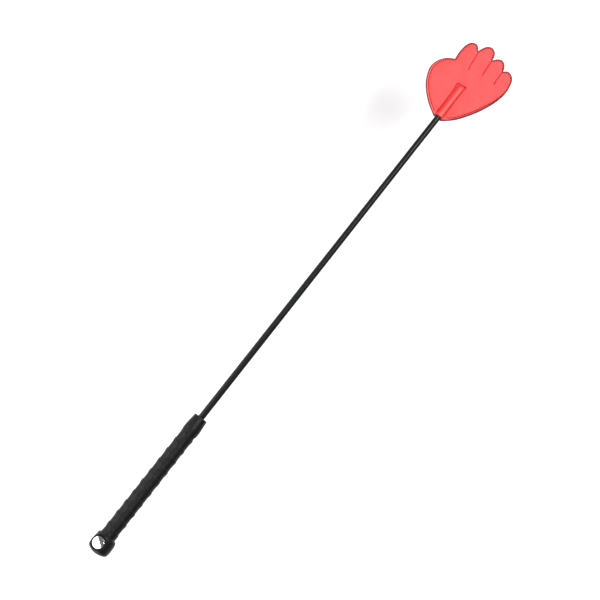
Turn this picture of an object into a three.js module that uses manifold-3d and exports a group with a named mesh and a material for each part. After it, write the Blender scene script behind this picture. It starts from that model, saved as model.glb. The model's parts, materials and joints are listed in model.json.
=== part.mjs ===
// A riding crop with a hand-shaped leather popper, in millimetres, +Z up.
//
// The crop is drawn straight along +X from its butt (x = 0) to the longest fingertip, with the shaft's
// axis on y = 0, z = 0, the hand's thumb towards +Y and the studded side of the pommel near +Z.
// At the end it is laid down: pommel and popper both touch z = 0, with the origin under the middle.

import * as THREE from "three";
import { mergeVertices } from "three/addons/utils/BufferGeometryUtils.js";
import Module from "manifold-3d";

const wasm = await Module();
wasm.setup();

// Driving dimensions: stations along the crop, measured from the butt
const LENGTH = 650;
const POMMEL_END = 21.3;
const COLLAR_START = 153.5;
const COLLAR_END = 173.8;
const FLEX_STATIONS = [224, 334, 454];
const POPPER_START = 559;
const ROD_END = 597;
const FLAP_STATION = 605;

// Driving dimensions: thicknesses, clearances and facets
const GAP = 0.3;
const FLEX_GAP = 1.0;
const FLAP_GAP = 1.8;
const POMMEL_RADIUS = 11.8;
const POMMEL_LEATHER = 1.5;
const GRIP_CORE_RADIUS = 6.6;
const POPPER_LEATHER = 1.2;
const SIDES = 20;
const POMMEL_SIDES = 32;

// Helical leather strip of the grip
const WRAP = {
  start: POMMEL_END + GAP,
  end: COLLAR_START - GAP,
  pitch: 13.5,
  thickness: 0.8,
  lap: 2.0,
  buttRadius: 7.4,
  collarRadius: 7.1,
  stepsPerTurn: 14,
  edgePhase: 0.1,
};

// Stud on the side of the pommel: its axis leans from +Z towards +Y
const STUD = { x: 11, lean: THREE.MathUtils.degToRad(22.5), seat: 8.3, radius: 7.4, height: 2.6 };
const POST_RADIUS = 1.5;
const POST_DEPTH = 2.8;

// Stitching: a flat thread sunk in a channel of the leather
const THREAD = { width: 0.6, thickness: 0.3 };
const CHANNEL_WIDTH = THREAD.width + 2 * GAP;
const CHANNEL_DEPTH = THREAD.thickness + GAP + 0.05;

// Colours, roughness and metalness of each material
const material = (color, roughness, metalness = 0) =>
  new THREE.MeshStandardMaterial({ color, roughness, metalness });
const BLACK_LEATHER = material(0x1b1b1c, 0.55);
const RED_LEATHER = material(0xee4b4f, 0.5);
const RED_THREAD = material(0xb3202c, 0.8);
const BLACK_BRAID = material(0x222324, 0.6);
const FIBREGLASS = material(0xd8d3be, 0.4);
const FOAM_RUBBER = material(0x2c2c2c, 0.9);
const BEECH = material(0xc79a63, 0.7);
const CHROME = material(0xe6e8ea, 0.08, 1);
const STEEL = material(0x9a9c9e, 0.35, 1);

// The shaft's core and its braided cover both taper towards the popper
const { lerp } = THREE.MathUtils;
const rodRadius = (x) => lerp(2.25, 1.7, x / ROD_END);
const braidRadius = (x) => lerp(3.25, 2.75, x / POPPER_START);

// ---------------------------------------------------------------- geometry helpers

/** A solid of revolution about X. The profile is a list of [x, radius], running with x outside. */
function turned(profile, sides = SIDES) {
  const points = profile.map(([x, radius]) => new THREE.Vector2(radius, x));
  return new THREE.LatheGeometry(points, sides).rotateZ(-Math.PI / 2);
}

/** A tube along X whose outer and inner radii are functions of x. */
function sleeve(x0, x1, outer, inner) {
  return turned([
    [x0, inner(x0)],
    [x0, outer(x0)],
    [x1, outer(x1)],
    [x1, inner(x1)],
    [x0, inner(x0)],
  ]);
}

/** A bar along X whose radius is a function of x. */
function bar(x0, x1, radius) {
  return turned([
    [x0, 0],
    [x0, radius(x0)],
    [x1, radius(x1)],
    [x1, 0],
  ]);
}

/** A sheet of the outline's shape between two heights. */
function sheet(outline, bottom, top) {
  const shape = new THREE.Shape(outline);
  return new THREE.ExtrudeGeometry(shape, { depth: top - bottom, bevelEnabled: false }).translate(0, 0, bottom);
}

/** A block between two corners. */
function block(low, high) {
  const size = high.map((value, axis) => value - low[axis]);
  const middle = high.map((value, axis) => (value + low[axis]) / 2);
  return new THREE.BoxGeometry(...size).translate(...middle);
}

/** The geometry as a manifold solid, for joining and cutting. */
function solid(geometry) {
  const bare = geometry.clone().deleteAttribute("normal").deleteAttribute("uv");
  const merged = mergeVertices(bare, 1e-4);
  return new wasm.Manifold(
    new wasm.Mesh({
      numProp: 3,
      vertProperties: new Float32Array(merged.attributes.position.array),
      triVerts: new Uint32Array(merged.index.array),
    }),
  );
}

/** A manifold solid as a three.js geometry. */
function surface(manifold) {
  const mesh = manifold.getMesh();
  const geometry = new THREE.BufferGeometry();
  geometry.setAttribute("position", new THREE.BufferAttribute(mesh.vertProperties, 3));
  geometry.setIndex(new THREE.BufferAttribute(mesh.triVerts, 1));
  geometry.computeVertexNormals();
  return geometry;
}

const crop = new THREE.Group();

function add(name, geometry, look) {
  const mesh = new THREE.Mesh(geometry, look);
  mesh.name = name;
  crop.add(mesh);
}

// ---------------------------------------------------------------- pommel and stud

/** Turns a shape drawn along +X from the crop's axis so that it points out along the stud's axis. */
function alongStud(geometry) {
  return geometry
    .rotateY(-Math.PI / 2)
    .rotateX(-STUD.lean)
    .translate(STUD.x, 0, 0);
}

/** The solid with everything beyond a distance along the stud's axis cut away, as a flat seat. */
function flattened(manifold, distance) {
  const reach = 2 * POMMEL_RADIUS;
  const waste = alongStud(block([distance, -reach, -reach], [distance + reach, reach, reach]));
  return manifold.subtract(solid(waste));
}

function pommel() {
  const outside = turned(
    [
      [0, 0],
      [0.3, 3.2],
      [1.3, 7.0],
      [2.3, 9.2],
      [3.7, 10.6],
      [5.8, 11.4],
      [9.6, POMMEL_RADIUS],
      [15, 11.5],
      [19.4, 10.8],
      [20.8, 10.0],
      [POMMEL_END, 8.9],
      [POMMEL_END, 0],
    ],
    POMMEL_SIDES,
  );
  const wall = POMMEL_LEATHER;
  const cavity = turned(
    [
      [wall, 0],
      [wall + 0.5, 6.2],
      [wall + 2, 8.6],
      [wall + 4.4, 9.9],
      [9.6, POMMEL_RADIUS - wall],
      [15, 11.5 - wall],
      [19.2, 9.4],
      [POMMEL_END - wall, 8.6],
      [POMMEL_END - wall, 7.2],
      [POMMEL_END + wall, 7.2],
      [POMMEL_END + wall, 0],
    ],
    POMMEL_SIDES,
  );
  const plug = turned(
    [
      [wall + GAP, 0],
      [wall + 0.9, 6.0],
      [wall + 2.3, 8.2],
      [wall + 4.6, 9.5],
      [9.6, POMMEL_RADIUS - wall - GAP],
      [15, 11.5 - wall - GAP],
      [19, 9.0],
      [POMMEL_END - wall - GAP, 8.3],
      [POMMEL_END - wall - GAP, 3.6],
      [14, 3.6],
      [14, 0],
    ],
    POMMEL_SIDES,
  );
  const postHole = solid(alongStud(bar(POST_DEPTH - GAP, POMMEL_RADIUS, () => POST_RADIUS + GAP)));

  const leather = flattened(solid(outside), STUD.seat)
    .subtract(flattened(solid(cavity), STUD.seat - wall))
    .subtract(postHole);
  add("pommel_leather", surface(leather), BLACK_LEATHER);

  const core = flattened(solid(plug), STUD.seat - wall - GAP).subtract(postHole);
  add("pommel_core", surface(core), BEECH);
}

function stud() {
  const base = STUD.seat + GAP;
  const rim = base + 0.7;
  const profile = [
    [base, 0],
    [base, STUD.radius - 0.3],
    [base + 0.3, STUD.radius],
    [rim, STUD.radius],
  ];
  const domeSteps = 6;
  for (let i = 1; i <= domeSteps; i++) {
    const angle = (i / domeSteps) * (Math.PI / 2);
    profile.push([
      rim + (STUD.height - 0.7) * Math.sin(angle),
      i === domeSteps ? 0 : STUD.radius * Math.cos(angle),
    ]);
  }
  add("stud_cap", alongStud(turned(profile, 28)), CHROME);
  add("stud_post", alongStud(bar(POST_DEPTH, STUD.seat, () => POST_RADIUS)), STEEL);
}

// ---------------------------------------------------------------- grip

/** The leather strip wound round the grip: each turn's tip-side edge lies on the next turn. */
function woundStrip() {
  const { pitch, thickness, lap, stepsPerTurn } = WRAP;
  const under = thickness + 0.12;
  const over = under + 0.38;
  const section = [
    [0, 0],
    [pitch - 1.3, 0],
    [pitch - 0.1, under],
    [pitch + lap, under],
    [pitch + lap, over],
    [pitch - 0.3, over],
    [pitch - 1.6, thickness],
    [0, thickness],
  ];
  const firstEdge = WRAP.end;
  const turns = Math.ceil((WRAP.end - WRAP.start + lap) / pitch) + 2;
  const steps = turns * stepsPerTurn;
  const positions = [];
  for (let step = 0; step <= steps; step++) {
    const turn = step / stepsPerTurn;
    const angle = 2 * Math.PI * (turn + WRAP.edgePhase);
    for (const [along, height] of section) {
      const x = firstEdge - pitch * turn + along;
      const share = (x - WRAP.start) / (WRAP.end - WRAP.start);
      const radius = lerp(WRAP.buttRadius, WRAP.collarRadius, share) + height;
      positions.push(x, radius * Math.cos(angle), radius * Math.sin(angle));
    }
  }
  const sides = section.length;
  const indices = [];
  for (let step = 0; step < steps; step++) {
    for (let side = 0; side < sides; side++) {
      const next = (side + 1) % sides;
      const [a, b] = [step * sides + side, step * sides + next];
      indices.push(a, b, b + sides, a, b + sides, a + sides);
    }
  }
  const outline = section.map(([along, height]) => new THREE.Vector2(along, height));
  const last = steps * sides;
  for (const [a, b, c] of THREE.ShapeUtils.triangulateShape(outline, [])) {
    indices.push(a, c, b);
    indices.push(last + a, last + b, last + c);
  }
  const geometry = new THREE.BufferGeometry();
  geometry.setAttribute("position", new THREE.Float32BufferAttribute(positions, 3));
  geometry.setAttribute("normal", new THREE.Float32BufferAttribute(new Array(positions.length).fill(0), 3));
  geometry.setAttribute("uv", new THREE.Float32BufferAttribute(new Array((positions.length / 3) * 2).fill(0), 2));
  geometry.setIndex(indices);
  return geometry;
}

function grip() {
  const coreStart = POMMEL_END - POMMEL_LEATHER;
  const coreEnd = COLLAR_END - 1.6;
  add("grip_core", sleeve(coreStart, coreEnd, () => GRIP_CORE_RADIUS, () => 3.6), FOAM_RUBBER);

  const window = bar(WRAP.start, WRAP.end, () => 2 * GRIP_CORE_RADIUS);
  add("grip_wrap", surface(solid(woundStrip()).intersect(solid(window))), BLACK_LEATHER);

  const boreRadius = GRIP_CORE_RADIUS + GAP;
  const shaftHole = braidRadius(COLLAR_END) + GAP;
  const collar = turned(
    [
      [COLLAR_START, boreRadius],
      [COLLAR_START, 8.3],
      [COLLAR_START + 0.7, 8.5],
      [COLLAR_START + 6.5, 8.5],
      [COLLAR_START + 15, 7.7],
      [COLLAR_END - 0.6, 7.2],
      [COLLAR_END, 6.6],
      [COLLAR_END, shaftHole],
      [COLLAR_END - 1.3, shaftHole],
      [COLLAR_END - 1.3, boreRadius],
      [COLLAR_START, boreRadius],
    ],
    POMMEL_SIDES,
  );
  add("grip_collar", collar, BLACK_LEATHER);
}

// ---------------------------------------------------------------- shaft

/** The rod and its cover, both cut at the stations where the shaft flexes. */
function shaft() {
  const rodStart = 14.3;
  const braidStart = 14.6;
  const braidEnd = POPPER_START + 6;
  const names = ["root", "lower", "middle", "tip"];
  names.forEach((name, i) => {
    const from = FLEX_STATIONS[i - 1] + FLEX_GAP / 2;
    const to = FLEX_STATIONS[i] - FLEX_GAP / 2;
    const isFirst = i === 0;
    const isLast = i === names.length - 1;
    add(`rod_${name}`, bar(isFirst ? rodStart : from, isLast ? ROD_END : to, rodRadius), FIBREGLASS);
    const cover = sleeve(
      isFirst ? braidStart : from,
      isLast ? braidEnd : to,
      braidRadius,
      (x) => rodRadius(x) + GAP,
    );
    add(`braid_${name}`, cover, BLACK_BRAID);
  });
  const whippingStart = braidEnd + GAP;
  const whipping = sleeve(whippingStart, whippingStart + 3, () => 2.7, (x) => rodRadius(x) + GAP);
  add("tip_whipping", whipping, BLACK_BRAID);
}

// ---------------------------------------------------------------- popper

// Heights of the two leathers: the back lies flat and the front is formed over the rod
const BACK_TOP = -(braidRadius(POPPER_START) + GAP);
const BACK_BOTTOM = BACK_TOP - POPPER_LEATHER;
const FRONT_BOTTOM = BACK_TOP + GAP;
const FRONT_TOP = FRONT_BOTTOM + POPPER_LEATHER;

// Outline of the hand as smooth stretches between corners, [x from the mouth, y]
const HAND = {
  thumb: [[0, 4], [8.6, 17.8], [20.8, 30.4], [32.9, 36.6], [41, 37.6], [49, 34.9], [55.2, 29.8], [59.2, 23.2]],
  index: [[59.2, 23.2], [67, 24.1], [76, 23.3], [82, 20.4], [84.2, 15.8], [82.7, 11.9], [79.6, 9.6]],
  middle: [[79.6, 9.6], [84.4, 7.8], [88.9, 4.9], [91, 0.2], [89, -4.6], [84.8, -7], [81.4, -7.6]],
  ring: [[81.4, -7.6], [84.2, -9.9], [86.6, -12.8], [87.3, -15.9], [85.8, -19.4], [82.8, -21.8], [79, -23.3]],
  little: [[79, -23.3], [81.4, -25.8], [82.2, -29.2], [80, -33.8], [75.4, -36.8], [66.4, -38.6]],
  side: [[66.4, -38.6], [57.3, -37.7], [45.1, -34.4], [28.9, -27], [12.7, -16.7], [4.6, -9], [0, -3.7]],
};
const CURVE_STEPS = 2;

/** The hand's outline as points, running from the mouth's thumb side round to its other side. */
function handOutline() {
  const outline = [];
  for (const corners of Object.values(HAND)) {
    const curve = new THREE.SplineCurve(corners.map(([x, y]) => new THREE.Vector2(POPPER_START + x, y)));
    const points = curve.getPoints(CURVE_STEPS * (corners.length - 1));
    outline.push(...(outline.length ? points.slice(1) : points));
  }
  return outline;
}

/** Each point of a path moved sideways, to its right, by a distance that may depend on the point. */
function shifted(path, distance) {
  return path.map((point, i) => {
    const before = path[Math.max(i - 1, 0)];
    const after = path[Math.min(i + 1, path.length - 1)];
    const heading = after.clone().sub(before).normalize();
    const right = new THREE.Vector2(heading.y, -heading.x);
    return point.clone().addScaledVector(right, distance(point));
  });
}

/** The outline of a band of a given width along a path. */
function band(path, width) {
  const left = shifted(path, () => -width / 2);
  const right = shifted(path, () => width / 2);
  return [...left, ...right.reverse()];
}

/** The row of stitches round the hand: wider from the edge on the palm than on the fingers. */
function edgeSeam(outline) {
  const inset = ({ x }) => lerp(2.9, 1.8, THREE.MathUtils.smoothstep(x - POPPER_START, 40, 66));
  return shifted(outline, inset).filter(({ x, y }) => x > POPPER_START + 12 || Math.abs(y) > 7);
}

// The seam that closes the pocket round the rod, and the three seams between the fingers
const fromMouth = (points) => points.map(([x, y]) => new THREE.Vector2(POPPER_START + x, y));
const POCKET_SEAM = fromMouth([[5, 5.2], [42.4, 5.4], [43.6, 4.4], [44, -3.6], [43, -4.8], [5, -5.2]]);
const FINGER_SEAMS = {
  index: fromMouth([[77.4, 8.1], [57.8, 5.8]]),
  middle: fromMouth([[78.8, -7.5], [61.4, -9.1]]),
  ring: fromMouth([[76.4, -23], [62.8, -23.6]]),
};

/** The hollow ridge that the front leather makes over the rod, grown outwards by some thickness. */
function pocket(grow) {
  const wide = braidRadius(POPPER_START) + GAP + grow;
  const narrow = rodRadius(ROD_END) + GAP + grow;
  const start = grow ? POPPER_START : POPPER_START - 1;
  const end = ROD_END + 3 * GAP + grow;
  const floor = grow ? FRONT_BOTTOM : FRONT_BOTTOM - 1;
  const halfWidths = [
    [start, wide],
    [POPPER_START + 10, wide],
    [POPPER_START + 14, narrow],
    [end - narrow / 3, narrow],
    [end, narrow * 0.6],
  ];
  const arch = turned([[start, 0], ...halfWidths, [end, 0]]);
  const sides = halfWidths.map(([x, y]) => new THREE.Vector2(x, y));
  const mirrored = sides.map(({ x, y }) => new THREE.Vector2(x, -y)).reverse();
  const skirt = sheet([...sides, ...mirrored], floor, 0);
  const below = block([start - 1, -2 * wide, -2 * wide], [end + 1, 2 * wide, floor]);
  return solid(arch).add(solid(skirt)).subtract(solid(below));
}

function popper() {
  const outline = handOutline();
  const seams = { edge: edgeSeam(outline), pocket: POCKET_SEAM, ...FINGER_SEAMS };
  const palmEnd = FLAP_STATION - FLAP_GAP / 2;
  const flapStart = FLAP_STATION + FLAP_GAP / 2;
  const palmSide = solid(block([POPPER_START - 5, -50, -10], [palmEnd, 50, 10]));
  const thumbSide = solid(block([POPPER_START - 5, 0, -10], [palmEnd, 50, 10]));
  const littleSide = solid(block([POPPER_START - 5, -50, -10], [palmEnd, 0, 10]));
  const flapSide = solid(block([flapStart, -50, -10], [LENGTH + 5, 50, 10]));

  const layers = {
    front: { bottom: FRONT_BOTTOM, top: FRONT_TOP, outward: 1 },
    back: { bottom: BACK_BOTTOM, top: BACK_TOP, outward: -1 },
  };
  for (const [layer, { bottom, top, outward }] of Object.entries(layers)) {
    const outer = outward > 0 ? top : bottom;
    const inner = outer - outward * CHANNEL_DEPTH;
    const [channelLow, channelHigh] = [Math.min(inner, outer + outward), Math.max(inner, outer + outward)];
    const threadInner = inner + outward * GAP;
    const threadOuter = threadInner + outward * THREAD.thickness;
    const [threadLow, threadHigh] = [Math.min(threadInner, threadOuter), Math.max(threadInner, threadOuter)];

    let leather = solid(sheet(outline, bottom, top));
    if (outward > 0) {
      leather = leather.add(pocket(POPPER_LEATHER)).subtract(pocket(0));
    }
    for (const path of Object.values(seams)) {
      leather = leather.subtract(solid(sheet(band(path, CHANNEL_WIDTH), channelLow, channelHigh)));
    }
    add(`palm_${layer}`, surface(leather.intersect(palmSide)), RED_LEATHER);
    add(`fingers_${layer}`, surface(leather.intersect(flapSide)), RED_LEATHER);

    const thread = (path) => solid(sheet(band(path, THREAD.width), threadLow, threadHigh));
    const edge = thread(seams.edge);
    add(`thumb_edge_thread_${layer}`, surface(edge.intersect(thumbSide)), RED_THREAD);
    add(`little_edge_thread_${layer}`, surface(edge.intersect(littleSide)), RED_THREAD);
    add(`finger_edge_thread_${layer}`, surface(edge.intersect(flapSide)), RED_THREAD);
    add(`pocket_thread_${layer}`, surface(thread(seams.pocket)), RED_THREAD);
    for (const finger of Object.keys(FINGER_SEAMS)) {
      add(`${finger}_finger_thread_${layer}`, surface(thread(seams[finger])), RED_THREAD);
    }
  }
}

// ---------------------------------------------------------------- assembly

pommel();
stud();
grip();
shaft();
popper();

/** Lays the straight crop down: turned about Y so that pommel and popper touch, then set on z = 0. */
function laidDown(group) {
  const drop = POMMEL_RADIUS + BACK_BOTTOM;
  const pommelContact = 9.6;
  group.rotation.y = Math.asin(drop / (LENGTH - pommelContact));
  group.updateMatrixWorld(true);
  const box = new THREE.Box3().setFromObject(group, true);
  const middle = box.getCenter(new THREE.Vector3());
  group.position.set(-middle.x, -middle.y, -box.min.z);
  const root = new THREE.Group();
  root.add(group);
  root.updateMatrixWorld(true);
  return root;
}

export default laidDown(crop);
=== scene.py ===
import json
import math

import bpy
import numpy as np
from mathutils import Matrix, Quaternion, Vector, geometry


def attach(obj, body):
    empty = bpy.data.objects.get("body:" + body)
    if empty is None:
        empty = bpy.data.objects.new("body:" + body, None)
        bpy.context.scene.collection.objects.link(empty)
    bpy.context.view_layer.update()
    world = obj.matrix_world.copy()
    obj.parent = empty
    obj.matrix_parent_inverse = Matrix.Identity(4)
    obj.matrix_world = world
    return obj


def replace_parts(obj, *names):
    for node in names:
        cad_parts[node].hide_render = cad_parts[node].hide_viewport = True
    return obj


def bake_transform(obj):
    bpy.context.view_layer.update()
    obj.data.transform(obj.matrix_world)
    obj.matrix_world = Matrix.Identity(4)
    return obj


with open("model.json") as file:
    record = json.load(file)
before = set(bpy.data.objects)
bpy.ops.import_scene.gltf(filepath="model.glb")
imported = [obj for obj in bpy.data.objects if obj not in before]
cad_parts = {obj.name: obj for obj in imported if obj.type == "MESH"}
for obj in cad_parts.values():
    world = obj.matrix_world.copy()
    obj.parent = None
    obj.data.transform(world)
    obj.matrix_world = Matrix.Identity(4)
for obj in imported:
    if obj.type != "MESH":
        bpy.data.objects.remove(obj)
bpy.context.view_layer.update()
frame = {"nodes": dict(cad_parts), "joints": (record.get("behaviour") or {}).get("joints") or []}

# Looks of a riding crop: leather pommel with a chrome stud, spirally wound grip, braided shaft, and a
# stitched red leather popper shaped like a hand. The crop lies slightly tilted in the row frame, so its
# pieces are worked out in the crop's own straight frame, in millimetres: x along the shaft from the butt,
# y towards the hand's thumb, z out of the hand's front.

MM = 0.001
# How far a leather's cut edge is rounded off, and the radius left open at a turned piece's middle
EDGE_DROP = 0.42
PINHOLE = 0.02

# ---- the crop's own frame


def cad_vertices(node):
    """Vertices of a CAD node, in metres in the row frame."""
    mesh = frame["nodes"][node].data
    return np.array([v.co for v in mesh.vertices], float)


JOINTS = {joint["name"]: Vector(joint["pos_m"]) for joint in frame["joints"]}
ALONG = (JOINTS["shaft_flex_tip"] - JOINTS["shaft_flex"]).normalized()
THUMBWARD = Vector((0, 1, 0))
OUTWARD = ALONG.cross(THUMBWARD)
AXES = np.array([ALONG, THUMBWARD, OUTWARD])
BUTT = np.array(JOINTS["shaft_flex"])
BUTT = BUTT + AXES[0] * ((cad_vertices("pommel_leather") - BUTT) @ AXES[0]).min()


def to_crop(points):
    """Row frame metres to crop frame millimetres."""
    return (np.asarray(points, float) - BUTT) @ AXES.T / MM


def to_row(points):
    """Crop frame millimetres to row frame metres."""
    return BUTT + np.asarray(points, float) @ AXES * MM


def span(node):
    """Lowest and highest corner of a CAD node in the crop frame."""
    points = to_crop(cad_vertices(node))
    return points.min(0), points.max(0)


def extent(node, axis):
    """Where a CAD node starts and ends along one axis of the crop frame."""
    low, high = span(node)
    return low[axis], high[axis]


# Stations and heights that the CAD model sets
X, Y, Z = range(3)
POMMEL_END = extent("pommel_leather", X)[1]
POMMEL_RADIUS = extent("pommel_leather", Y)[1]
WRAP_START, WRAP_END = extent("grip_wrap", X)
COLLAR_START, COLLAR_END = extent("grip_collar", X)
ROD_START, ROD_END = extent("rod_root", X)[0], extent("rod_tip", X)[1]
BRAID_END = extent("braid_tip", X)[1]
MOUTH = extent("palm_front", X)[0]
BACK_BOTTOM = extent("palm_back", Z)[0]
FRONT_TOP = extent("fingers_front", Z)[1]
STUD_CENTRE = np.mean(span("stud_cap"), axis=0)
STUD_LEAN = math.atan2(STUD_CENTRE[Y], STUD_CENTRE[Z])

# ---- mesh helpers


def smooth(t, low=0.0, high=1.0):
    """Smoothstep of t between two edges."""
    share = np.clip((np.asarray(t, float) - low) / (high - low), 0, 1)
    return share * share * (3 - 2 * share)


def plateau(t, rise, fall):
    """1 between two slopes of t, and 0 outside them."""
    return smooth(t, *rise) * (1 - smooth(t, *fall))


def bell(distance, width):
    """1 at distance 0, falling off smoothly over a width."""
    return np.exp(-((np.asarray(distance, float) / width) ** 2))


def tapered(ends, share):
    """From the first to the second of two ends, at a share of the way."""
    first, last = ends
    return first + (last - first) * share


def rounded_edge(inside, radius):
    """How far a leather's cut edge is rounded off, at a distance inside it."""
    share = np.clip(1 - inside / radius, 0, 1)
    return EDGE_DROP * (1 - np.sqrt(1 - share**2))


def ripple(u, v, size):
    """Slow, even unevenness of a hand-made surface, about -1 to 1, with features of a given size."""
    waves = [(2.1, 1.3, 0.4, 1), (-1.2, 2.4, 2.1, 1), (3.3, -0.7, 4.2, 1), (4.1, 3.6, 1.1, 0.5)]
    a, b = u / size, v / size
    return sum(height * np.sin(p * a + q * b + phase) for p, q, phase, height in waves) / 3.5


def catmull_rom(points, steps):
    """A smooth open curve through the points, as an array with that many steps between each two."""
    points = np.asarray(points, float)
    padded = np.vstack([points[0], points, points[-1]])
    share = np.linspace(0, 1, steps, endpoint=False)[:, None]
    pieces = []
    for p0, p1, p2, p3 in zip(padded, padded[1:], padded[2:], padded[3:]):
        tangent, bend = (p2 - p0) / 2, (p3 - p1) / 2
        cubic = 2 * p1 - 2 * p2 + tangent + bend
        square = -3 * p1 + 3 * p2 - 2 * tangent - bend
        pieces.append(((cubic * share + square) * share + tangent) * share + p1)
    return np.vstack([*pieces, points[-1:]])


def resampled(path, spacing):
    """The path again, as points evenly spaced along it."""
    lengths = np.hypot(*np.diff(path, axis=0).T)
    along = np.concatenate([[0], np.cumsum(lengths)])
    count = max(2, int(round(along[-1] / spacing)) + 1)
    at = np.linspace(0, along[-1], count)
    return np.stack([np.interp(at, along, column) for column in path.T], 1)


def placed(name, data):
    """A new object in the scene."""
    thing = bpy.data.objects.new(name, data)
    bpy.context.scene.collection.objects.link(thing)
    return thing


def build(name, points, faces, look, uv=None, values=None):
    """A smooth-shaded mesh object from crop frame points, with a row of uv for each face corner.

    Points keep their place at rest as rest_mm, so that the grain doesn't move when a piece bends."""
    mesh = bpy.data.meshes.new(name)
    mesh.from_pydata(to_row(points).tolist(), [], [list(map(int, face)) for face in faces])
    mesh.update()
    mesh.polygons.foreach_set("use_smooth", [True] * len(mesh.polygons))
    rest = mesh.attributes.new("rest_mm", "FLOAT_VECTOR", "POINT")
    rest.data.foreach_set("vector", np.asarray(points, np.float32).ravel())
    if uv is not None:
        layer = mesh.uv_layers.new(name="SurfaceMM")
        layer.data.foreach_set("uv", np.asarray(uv, np.float32).ravel())
    for key, value in (values or {}).items():
        attribute = mesh.attributes.new(key, "FLOAT", "POINT")
        attribute.data.foreach_set("value", np.asarray(value, np.float32))
    mesh.materials.append(look)
    piece = placed(name, mesh)
    return piece


def tube_faces(rows, columns):
    """Quads of a grid that closes round its columns, with unwrapped (row, column) for each corner."""
    row, column = np.meshgrid(np.arange(rows - 1), np.arange(columns), indexing="ij")
    corners = [(0, 0), (1, 0), (1, 1), (0, 1)]
    faces = np.stack([(row + dr) * columns + (column + dc) % columns for dr, dc in corners], -1)
    cells = np.stack([np.stack([row + dr, column + dc], -1) for dr, dc in corners], -2)
    return faces.reshape(-1, 4), cells.reshape(-1, 4, 2)


def turned(profile, columns, shape=None):
    """Points and faces of a body turned about x from (x, radius) pairs. shape may move the points."""
    profile = np.asarray(profile, float)
    angles = np.linspace(0, 2 * math.pi, columns, endpoint=False)
    x = np.repeat(profile[:, :1], columns, 1)
    y = profile[:, 1:] * np.cos(angles)
    z = profile[:, 1:] * np.sin(angles)
    points = np.stack([x, y, z], -1).reshape(-1, 3)
    if shape is not None:
        points = shape(points)
    return points, tube_faces(len(profile), columns)[0]


# ---- materials


def set_inputs(tree, node, inputs):
    """Sets a node's inputs to values, or links them to sockets."""
    for key, value in inputs.items():
        if isinstance(value, bpy.types.NodeSocket):
            tree.links.new(value, node.inputs[key])
        else:
            node.inputs[key].default_value = value


def shader(tree, kind, inputs=None, **settings):
    """A shader node with its settings and inputs."""
    made = tree.nodes.new("ShaderNode" + kind)
    for key, value in settings.items():
        setattr(made, key, value)
    set_inputs(tree, made, inputs or {})
    return made


def material(name, look, *facts, **named_facts):
    """A node material, of one principled shader with the inputs that a look works out from its facts."""
    made = bpy.data.materials.new(name)
    made.use_nodes = True
    tree = made.node_tree
    tree.nodes.clear()
    principled = shader(tree, "BsdfPrincipled", look(tree, *facts, **named_facts))
    shader(tree, "OutputMaterial", {"Surface": principled.outputs["BSDF"]})
    return made


def along_surface(tree):
    """Coordinates that follow a strand or a thread, in millimetres."""
    return shader(tree, "UVMap", uv_map="SurfaceMM").outputs["UV"]


def stored(tree, name, output):
    """An attribute that build() stored on the mesh's points."""
    return shader(tree, "Attribute", attribute_name=name, attribute_type="GEOMETRY").outputs[output]


def place_at_rest(tree):
    """The point's own place in the unbent crop, in millimetres."""
    return stored(tree, "rest_mm", "Vector")


def painted(tree, name):
    """A value from 0 to 1 that the mesh paints on its points."""
    return stored(tree, name, "Fac")


def mapped(tree, vector, **changes):
    """Coordinates turned (Rotation) or stretched (Scale)."""
    return shader(tree, "Mapping", {"Vector": vector, **changes}).outputs["Vector"]


def noise(tree, vector, scale, detail=3.0, roughness=0.55, distortion=0.0):
    """Fractal noise from 0 to 1."""
    inputs = {"Vector": vector, "Scale": scale, "Detail": detail, "Roughness": roughness}
    return shader(tree, "TexNoise", {**inputs, "Distortion": distortion}).outputs["Fac"]


def bands(tree, vector, scale, distortion, **more):
    """Straight waves from 0 to 1."""
    inputs = {"Vector": vector, "Scale": scale, "Distortion": distortion, **more}
    return shader(tree, "TexWave", inputs, wave_type="BANDS").outputs["Fac"]


def ramp(tree, value, low, high, to_low=0.0, to_high=1.0):
    """value from low..high to to_low..to_high, smoothly and clamped."""
    inputs = {"Value": value, "From Min": low, "From Max": high, "To Min": to_low, "To Max": to_high}
    return shader(tree, "MapRange", inputs, interpolation_type="SMOOTHSTEP").outputs["Result"]


def mixed(tree, share, first, second):
    """A colour mixed from two."""
    node = shader(tree, "Mix", {"Factor": share}, data_type="RGBA", blend_type="MIX")
    colours = [k for k, socket in enumerate(node.inputs) if socket.type == "RGBA"]
    values = [(*value, 1) if isinstance(value, tuple) else value for value in (first, second)]
    set_inputs(tree, node, dict(zip(colours, values)))
    return next(socket for socket in node.outputs if socket.type == "RGBA")


def maths(tree, operation, first, second):
    """The result of one operation on two values."""
    return shader(tree, "Math", {0: first, 1: second}, operation=operation).outputs["Value"]


def weighted(tree, first, first_share, second, second_share):
    """The sum of two values, each times its share."""
    parts = [maths(tree, "MULTIPLY", first, first_share), maths(tree, "MULTIPLY", second, second_share)]
    return maths(tree, "ADD", *parts)


def bump(tree, height, depth_mm, strength, under=None):
    """A normal that shows a height map, on top of the one under it if that is given."""
    inputs = {"Height": height, "Distance": depth_mm * MM, "Strength": strength}
    if under is not None:
        inputs["Normal"] = under
    return shader(tree, "Bump", inputs).outputs["Normal"]


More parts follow.
